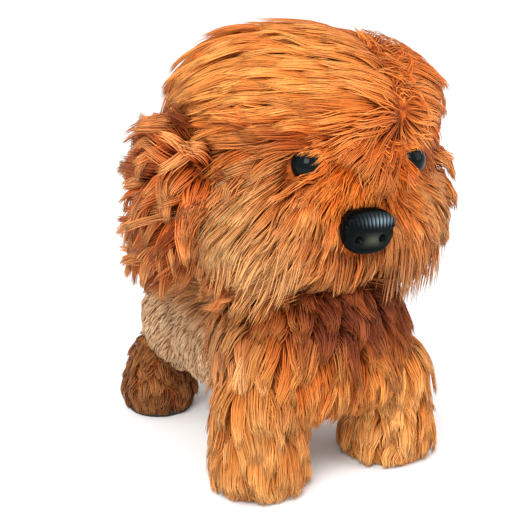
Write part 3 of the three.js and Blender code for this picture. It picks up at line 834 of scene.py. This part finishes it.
def cheek_and_jowl_fur(side, name):
    def on_cheek(points):
        return ((1 - face_share(points)) * (1 - crown_share(points)) * (side * points[:, 0] > 0)
                * eye_keep(points))

    def on_jowl(points):
        out = ramp(side * points[:, 0], 16, 24)
        return out * (1 - ramp(points[:, 2], 0, 10)) * ramp(points[:, 2], -20, -14) * (points[:, 1] < 14)

    head_fur(f"{name}_cheek_fur", 4600, on_cheek, side_comb, cheek_length, cheek_zones, CHEEK_STYLE,
             windows=EYE_WINDOWS)
    head_fur(f"{name}_jowl_fur", 1500, on_jowl, jowl_comb, even(25.0), all_of("side", "beard"), JOWL_STYLE,
             {"pale": 0.35, "odd": 0.8, "lock_light": 0.12}, shape=None)


head_fur("crown_fur", 11000, lambda points: crown_share(points) * eye_keep(points), crown_comb,
         crown_length, crown_zones, CROWN_STYLE, {"pale": 0.12, "odd": 0.75, "lock_light": 0.07},
         windows=FACE_WINDOWS)
head_fur("forelock_fur", 1100, near_parting, crown_comb, even(13.0), all_of("bridge", "crown"),
         FORELOCK_STYLE, {"odd": 0.8}, shape=None)
head_fur("face_fur", 11500, lambda points: face_share(points) * eye_keep(points), face_comb,
         face_length, face_zones, FACE_STYLE, {"odd": 0.5}, windows=FACE_WINDOWS, width=0.38)
for at, name in zip(EYES, ("left", "right")):
    lid_fur(at, name)
for side, name in ((1, "left"), (-1, "right")):
    cheek_and_jowl_fur(side, name)
pelt("head_pelt", "head", head_skin, PELT, "head_plush", HEAD)


# ---- eyes and nose -------------------------------------------------------------------------
def turned_mesh(name, rings, sides, shape):
    """A closed skin about the Y axis; shape(angles, ring) gives each ring's x, y and z."""
    angles = np.arange(sides) * 2 * math.pi / sides
    points = [shape(angles, r) for r in rings]
    verts = np.concatenate([points[0].mean(0)[None], *points, points[-1].mean(0)[None]])
    last = len(verts) - 1

    def ring(k, i):
        return 1 + k * sides + i % sides

    faces = [(0, ring(0, i + 1), ring(0, i)) for i in range(sides)]
    for k in range(len(rings) - 1):
        faces += [(ring(k, i), ring(k, i + 1), ring(k + 1, i + 1), ring(k + 1, i)) for i in range(sides)]
    faces += [(last, ring(len(rings) - 1, i), ring(len(rings) - 1, i + 1)) for i in range(sides)]
    mesh = bpy.data.meshes.new(name)
    mesh.from_pydata([tuple(v) for v in verts], [], faces)
    mesh.polygons.foreach_set("use_smooth", np.ones(len(faces), bool))
    mesh.update()
    return mesh, verts


def circle(angles, ring):
    radius, depth = ring
    return np.stack([radius * np.cos(angles), np.full(len(angles), depth), radius * np.sin(angles)], 1)


def eye(at, name):
    """A glossy ball on its shank."""
    last = math.pi - math.asin(STEM_R / EYE_R)
    rings = [(EYE_R * math.sin(a), -EYE_R * math.cos(a)) for a in np.linspace(0.04, last, 30)]
    rings += [(STEM_R, 8), (STEM_R, 14)]
    mesh, _ = turned_mesh(f"{name}_eye_ball", rings, 48, circle)
    mesh.transform(Matrix.Scale(MM, 4) @ HEAD @ Matrix.Translation(at))
    obj = plant(f"{name}_eye_ball", "head", mesh, EYE_GLOSS)
    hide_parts(f"{name}_eye")


ROUNDNESS = 2.6  # 2 would make the nose an ellipse, more a rectangle
RIB = 1.5  # from one rib of the nose to the next
NOSTRIL = (5.2, -2.4)  # x and z from the middle of the nose


def bump_at(x, z, x0, z0, rx, rz):
    """1 at x0, z0, falling away over rx and rz."""
    return np.exp(-(((x - x0) / rx) ** 2) - ((z - z0) / rz) ** 2)


def ribs(x, z):
    """The fine ribs over the top of the nose, fanning out upwards."""
    return 0.5 + 0.5 * np.cos(x / (1 + 0.03 * z) * 2 * math.pi / RIB)


def nose_ring(angles, ring):
    """A ring of the nose: a round-cornered shape, wider above, with a ribbed band and nostrils."""
    scale, depth = ring
    c, s = np.cos(angles), np.sin(angles)
    corner = (np.abs(c) ** ROUNDNESS + np.abs(s) ** ROUNDNESS) ** (-1 / ROUNDNESS)
    x, z = corner * c * scale * NOSE_HALF[0], corner * s * scale * NOSE_HALF[2]
    x = x * (0.93 + 0.07 * z / NOSE_HALF[2])
    y = np.full(len(angles), depth) + 0.035 * np.maximum(z, 0) ** 2 / 2
    front = 1 - ramp(np.array([depth]), -1.5, 2.0)[0]
    band = ramp(z, 1.2, 2.2) * (1 - ramp(z, 5.4, 6.8))
    y = y - front * band * (0.3 + 0.7 * ribs(x, z))
    y = y + front * 0.5 * np.exp(-(((z - 0.6) / 0.7) ** 2))
    for side in (-1, 1):
        at_x, at_z = side * NOSTRIL[0], NOSTRIL[1]
        y = y + front * 2.2 * bump_at(x, z, at_x, at_z, 1.7, 1.5)
        y = y - front * 0.35 * bump_at(x, z, at_x, at_z, 2.9, 2.6)
    y = y - front * 0.5 * bump_at(x, z, 0, -7.0, 6, 1.2)
    return np.stack([x, y, z], 1)


def nose():
    """A ribbed nose of moulded plastic on its shank: front, rounded rim, back and shank."""
    rim = np.linspace(0.1, math.pi / 2, 12)
    rings = [(t, -5.2 + 1.4 * t**2) for t in np.linspace(0.03, 0.86, 44)]
    rings += [(0.86 + 0.14 * math.sin(a), -4.15 + 2.6 * (1 - math.cos(a))) for a in rim]
    rings += [(1 - 0.45 * t**2, -1.55 + 7 * t) for t in np.linspace(0.1, 1, 8)]
    rings += [(0.3, 7), (0.3, 19)]
    mesh, verts = turned_mesh("nose_leather", rings, 220, nose_ring)
    x, y, z = verts.T
    # Colours of the nose: black, a grey patch on the lower front between the nostrils, and painted highlights in a
    # pale blue-grey on the crests of the ribs over its upper front
    face = (1 - ramp(y, -4.6, -2.0)) * (1 - ramp(z, -0.6, 0.8)) * ramp(z, -6.6, -5.2)
    holes = sum(bump_at(x, z, side * NOSTRIL[0], NOSTRIL[1], 1.9, 1.7) for side in (-1, 1))
    grey = (face * bump_at(x, z, 1.5, -2.6, 5.0, 2.0) * (1 - np.clip(1.8 * holes, 0, 1)))[:, None]
    shine = ((1 - ramp(y, -3.6, -1.0)) * bump_at(x, z, 3.5, 4.6, 6.0, 1.5) * ribs(x, z))[:, None]
    black, lower_face_grey, pale = linear(2, 5, 6), linear(62, 68, 56), linear(122, 140, 150)
    tone = black * (1 - grey - shine) + lower_face_grey * grey + pale * shine
    rgba = np.concatenate([tone, np.ones((len(tone), 1))], 1)
    colour = mesh.color_attributes.new("coat", "FLOAT_COLOR", "POINT")
    colour.data.foreach_set("color", rgba.ravel().astype(np.float32))
    mesh.transform(Matrix.Scale(MM, 4) @ HEAD @ Matrix.Translation(Vector(NOSE)))
    obj = plant("nose_leather", "head", mesh, NOSE_GLOSS)
    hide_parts("nose")


for at, name in zip(EYES, ("left", "right")):
    eye(at, name)
nose()


# ---- ears ----------------------------------------------------------------------------------
EAR_STYLE = {
    "steps": 5, "rise": 8, "lift": 1.2, "follow": 0.4, "droop": 0.25, "clump": 0.86, "curl": 1.3,
    "waves": 0.8, "swerve": 0.5, "per_lock": 36, "frizz": 0.5, "vary": 0.35,
}


def ear(side, name):
    """A hanging flap with tufts that stand out from it; little grows on the side at the head."""
    centre = np.array([side * 52, 9, 7.0])
    form = Form((centre, (8, 19, 24)), (centre + [0, 1, -13], (8, 14, 15)))

    def comb(points):
        out = (points - centre) / np.array([12, 18, 26])
        return out + np.array([side * 0.8, 0.45, -0.3])

    skin = form.mesh(f"{name}_ear_pelt", 1.4)
    fur(f"{name}_ear_fur", "head", form, skin, 5200,
        lambda points: np.where(side * (points[:, 0] - centre[0]) > -3, 1, 0.3), comb,
        lambda points: 20 + 6 * ramp(centre[2] - points[:, 2], -10, 20), all_of("side"),
        EAR_STYLE, {"pale": 0.22, "lock_light": 0.14, "odd": 0.85}, to_world=from_head)
    pelt(f"{name}_ear_pelt", "head", skin, PELT, f"{name}_ear", HEAD)


ear(1, "left")
ear(-1, "right")


# ---- body ----------------------------------------------------------------------------------
body_form = Form(
    ((0, -31, 58), (38, 31, 29)),
    ((17, -38, 52), (21, 20, 21)),
    ((-19, -38, 52), (22, 21, 21)),
    ((12, -43, 44), (17, 20, 16)),
    ((-12, -43, 44), (17, 20, 16)),
    ((0, -8, 56), (30, 26, 16)),
    ((0, 2, 45), (35, 46, 20)),
    ((17, 4, 43), (20, 36, 20)),
    ((-17, 4, 43), (20, 36, 20)),
    ((18, 35, 42), (21, 24, 22)),
    ((-18, 35, 42), (21, 24, 22)),
    ((0, 37, 43), (26, 22, 20)),
)
body_skin = body_form.mesh("body_pelt", 1.6)
CHEST_STYLE = {
    "rise": 4.5, "lift": 0.55, "droop": 0.5, "clump": 0.72, "curl": 1.2, "waves": 0.9, "swerve": 0.2,
    "per_lock": 28,
}
BACK_STYLE = {
    "steps": 3, "rise": 1.6, "lift": 0.45, "droop": 0.4, "clump": 0.4, "curl": 0.25, "swerve": 0.14,
    "per_lock": 14, "frizz": 0.2,
}
FLAP_X, FLAP_Y = 16.0, (-17.0, box_mm("battery_door")[1][1] + 1)  # round the door and the switch
BAY_TOP = box_mm("battery_1")[1][2] + 0.5


def flap(points, margin=0.0):
    """Which points lie in the way of the battery door and the switch."""
    across = np.abs(points[..., 0]) < FLAP_X + margin
    length = (points[..., 1] > FLAP_Y[0] - margin) & (points[..., 1] < FLAP_Y[1] + margin)
    return across & length & (points[..., 2] < BAY_TOP)


def open_flap(mesh):
    """Lifts the skin under the belly into the chassis, which leaves the flap's opening."""
    co = np.empty(len(mesh.vertices) * 3)
    mesh.vertices.foreach_get("co", co)
    points = co.reshape(-1, 3)
    points[flap(points), 2] = BAY_TOP
    mesh.vertices.foreach_set("co", points.ravel())
    mesh.update()


def chest_share(points):
    return 1 - ramp(points[:, 1] - 0.25 * (points[:, 2] - 50), -34, -20)


def back_keep(points):
    return (1 - chest_share(points)) * np.where(points[:, 2] > 24, 1.0, 0.3) * ~flap(points, 1.5)


def coat_comb(points):
    out = points * [0.012, 0.006, 0]
    out[:, 1] += 0.25 * ramp(points[:, 1], -30, 10)
    return out + np.array([0, 0, -1.0])


def chest_zones(points):
    throat = ramp(points[:, 2], 60, 70) * (0.25 + 0.75 * ramp(points[:, 0], -27, -12))
    shoulder = ramp(np.abs(points[:, 0]), 28, 36) * (1 - throat)
    chest = (1 - throat) * (1 - 0.7 * shoulder) + TRACE
    return {"throat": throat, "shoulder": shoulder * 0.7, "chest": chest}


def back_zones(points):
    top = ramp(points[:, 2], 54, 62)
    return {"back": top, "flank": 1 - top + TRACE}


fur("chest_fur", "chassis", body_form, body_skin, 9000,
    lambda points: chest_share(points) * (points[:, 2] > 31), coat_comb,
    lambda points: 8 + 17 * ramp(points[:, 2], 36, 56) - 12 * ramp(points[:, 2], 62, 76),
    chest_zones, CHEST_STYLE)
fur("back_fur", "chassis", body_form, body_skin, 9000, back_keep, coat_comb,
    lambda points: 6 + 7 * ramp(points[:, 2], 54, 62), back_zones, BACK_STYLE,
    {"lock_light": 0.06, "hair_light": 0.07, "odd": 0.35}, windows=[flap])
open_flap(body_skin)
pelt("body_pelt", "chassis", body_skin, BODY_PELT, "body_plush")


# ---- legs ----------------------------------------------------------------------------------
FRONT_FORM = (((0, 0, 34), (14, 15, 20)), ((0, -1, 17), (15.5, 16, 14)), ((0, 0, 9.5), (16.5, 17, 13)))
REAR_FORM = (((0, 0, 20), (12, 12, 15)), ((0, -1, 13), (14, 14, 11)), ((0, 0, 9.5), (15.2, 15.2, 13)))
LONGEST = {("front", "right"): 27, ("front", "left"): 23}  # the longest hair of a leg; else SHORT
SHORT = 8
HEM, SOLE_GAP, OVER_FLOOR = 3.5, 0.3, 0.4  # heights: of the lowest roots, over the sole, over the floor
LEG_STYLE = {
    "lift": 0.5, "droop": 0.5, "clump": 0.72, "curl": 1.4, "waves": 1.1, "swerve": 0.18, "per_lock": 28,
}


def leg(end, name):
    """A sleeve of plush over one leg, cut flat just over its sole."""
    low, high = box_mm(f"{end}_{name}_sole")
    foot = np.array([(low[0] + high[0]) / 2, (low[1] + high[1]) / 2, 0])
    front = end == "front"
    form = Form(*((foot + centre, half) for centre, half in (FRONT_FORM if front else REAR_FORM)))
    skin = form.mesh(f"{end}_{name}_leg_pelt", 1.3)
    zone = "leg" if front else "hind"
    longest = LONGEST.get((end, name), SHORT)
    style = {**LEG_STYLE, "steps": 5 if front else 4, "rise": 3.2 if front else 1.6}

    def comb(points):
        return (points - foot) * [0.022, 0.022, 0] + np.array([0, 0, -1.0])

    fur(f"{end}_{name}_leg_fur", f"{end}_{name}_leg", form, skin, 5000 if front else 2600,
        lambda points: (points[:, 2] > HEM).astype(float), comb,
        lambda points: np.clip(points[:, 2] * 1.1, 4, longest),
        lambda points: {zone: np.ones(len(points)), "chest": 0.3 * front * ramp(points[:, 2], 20, 34)},
        style, floor=OVER_FLOOR)
    co = np.empty(len(skin.vertices) * 3)
    skin.vertices.foreach_get("co", co)
    co[2::3] = np.maximum(co[2::3], high[2] + SOLE_GAP)
    skin.vertices.foreach_set("co", co)
    pelt(f"{end}_{name}_leg_pelt", f"{end}_{name}_leg", skin, PELT, f"{end}_{name}_leg_plush")


for end in ("front", "rear"):
    for name in ("left", "right"):
        leg(end, name)


# ---- tail ----------------------------------------------------------------------------------
def tail():
    """A stub that stands up, on a short stem that leaves the body."""
    centre = middle("tail_plush")
    form = Form((centre, (5, 5, 9.5)), (centre - [0, 7, 3], (4, 6.5, 4)))
    skin = form.mesh("tail_pelt", 1.0)
    fur("tail_fur", "tail", form, skin, 1300, lambda points: np.ones(len(points)),
        lambda points: unit(points - centre) * 0.6 + np.array([0, 0.25, -0.3]),
        even(10.0), all_of("back", "leg"), {"rise": 2.2, "lift": 1.0})
    pelt("tail_pelt", "tail", skin, PELT, "tail_plush")


tail()


# ---- stage: floor, light, camera -----------------------------------------------------------
FLOOR_HALF = 4.0
LIT = Vector((0, 0, 0.08))  # what both lamps point at
AIM = Vector((-0.0064, 0, 0.0795))  # what the camera points at
AZIMUTH, ELEVATION = math.radians(-30.1), math.radians(19.0)
DISTANCE, LENS = 0.600, 101.2  # in metres, and in millimetres


def stage():
    paper, _, _ = new_material("paper_floor", (0.92, 0.92, 0.92), Roughness=0.9)
    mesh = bpy.data.meshes.new("floor")
    s = FLOOR_HALF
    mesh.from_pydata([(-s, -s, 0), (s, -s, 0), (s, s, 0), (-s, s, 0)], [], [(0, 1, 2, 3)])
    floor = link("floor", mesh, paper)
    floor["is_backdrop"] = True
    world = bpy.data.worlds.new("studio")
    bpy.context.scene.world = world
    world.use_nodes = True
    background = world.node_tree.nodes["Background"]
    background.inputs["Color"].default_value = (1, 1, 1, 1)
    background.inputs["Strength"].default_value = 1.0


def area(name, at, size, watts):
    data = bpy.data.lights.new(name, "AREA")
    data.size = size
    data.energy = watts
    lamp = bpy.data.objects.new(name, data)
    lamp.location = at
    lamp.rotation_euler = (LIT - Vector(at)).to_track_quat("-Z", "Y").to_euler()
    bpy.context.scene.collection.objects.link(lamp)


def camera():
    """The photograph's point of view, from the dog's right front and a little above."""
    back = Vector((
        math.sin(AZIMUTH) * math.cos(ELEVATION),
        -math.cos(AZIMUTH) * math.cos(ELEVATION),
        math.sin(ELEVATION),
    ))
    data = bpy.data.cameras.new("camera")
    data.lens = LENS
    data.sensor_width = 36
    data.clip_start = 0.01
    viewer = bpy.data.objects.new("camera", data)
    viewer.location = AIM + back * DISTANCE
    viewer.rotation_euler = (-back).to_track_quat("-Z", "Y").to_euler()
    bpy.context.scene.collection.objects.link(viewer)
    bpy.context.scene.camera = viewer


stage()
area("key", (-0.55, -0.5, 0.75), 0.5, 9)
area("fill", (0.6, -0.7, 0.5), 0.7, 4)
camera()
bpy.context.scene.view_settings.view_transform = "Standard"

plain = lambda b: [[float(v) for v in corner] for corner in b]
{"cad": plain(cad_box), "visual": plain(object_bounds())}
